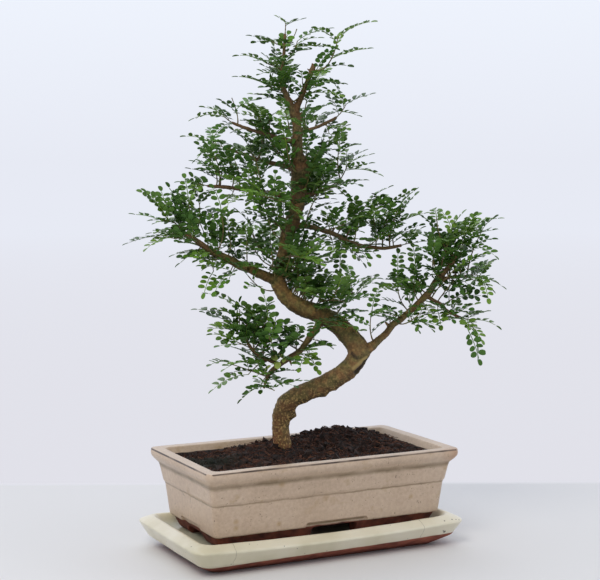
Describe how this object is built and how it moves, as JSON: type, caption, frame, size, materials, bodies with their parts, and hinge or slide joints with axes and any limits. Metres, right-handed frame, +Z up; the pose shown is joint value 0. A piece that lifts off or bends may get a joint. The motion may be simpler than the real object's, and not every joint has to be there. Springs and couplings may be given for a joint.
{
  "type": "bonsai tree in pot",
  "caption": "Small trained tree with a twisting trunk and fine feathered leaves, rooted in a rectangular glazed pot that stands on a shallow glazed saucer.",
  "frame": {"origin": "under the middle of the pot, on the level that the saucer stands on", "axes": "+X along the pot's long side, +Y across it towards its back, +Z up; the tree's best side looks towards -Y and -X"},
  "size_m": [0.4068, 0.2618, 0.5778],
  "materials": {
    "cream_glaze": "cream satin glaze, bare clay under it",
    "beige_glaze": "beige speckled satin glaze, bare clay feet",
    "potting_soil": "dark moist crumbs and bark fibre",
    "bark": "rough olive brown bark",
    "leaf_green": "glossy deep green leaf"
  },
  "bodies": {
    "root": {"saucer": "cream_glaze", "pot": "beige_glaze", "soil": "potting_soil", "trunk": "bark", "leader_top": "leaf_green", "leader_wings": "leaf_green", "leader_right": "leaf_green", "leader_left": "leaf_green", "leader_back": "leaf_green", "leader_front": "leaf_green", "leader_low": "leaf_green", "fork_tip": "leaf_green", "fork_right": "leaf_green", "fork_front": "leaf_green", "up_right_tip": "leaf_green", "up_right_low": "leaf_green", "up_right_back": "leaf_green", "top_front": "leaf_green", "top_back": "leaf_green", "up_left_tip": "leaf_green", "up_left_rise": "leaf_green", "up_left_back_tip": "leaf_green", "up_left_back_side": "leaf_green", "mid_left_tip": "leaf_green", "mid_left_rise": "leaf_green", "mid_left_front": "leaf_green", "right_tip": "leaf_green", "right_low": "leaf_green", "right_front": "leaf_green", "mid_right_inner": "leaf_green", "mid_right_back": "leaf_green", "mid_right_rise": "leaf_green", "mid_right_crown": "leaf_green", "mid_right_out": "leaf_green", "mid_right_tip": "leaf_green", "low_right_hang": "leaf_green", "low_right_back": "leaf_green", "low_right_front": "leaf_green", "low_right_rise": "leaf_green", "low_right_crown": "leaf_green", "low_right_tip": "leaf_green", "low_right_out_tip": "leaf_green", "low_right_down_tip": "leaf_green", "low_left_tip": "leaf_green", "low_left_side": "leaf_green", "low_left_inner": "leaf_green", "low_left_rise": "leaf_green", "low_left_up_tip": "leaf_green", "left_tip": "leaf_green", "left_out": "leaf_green", "left_back": "leaf_green", "left_hang": "leaf_green", "left_rise": "leaf_green", "left_down": "leaf_green", "front_low": "leaf_green", "front_mid": "leaf_green", "back_low": "leaf_green", "back_mid": "leaf_green", "low_back": "leaf_green", "low_front": "leaf_green"}
  },
  "joints": []
}
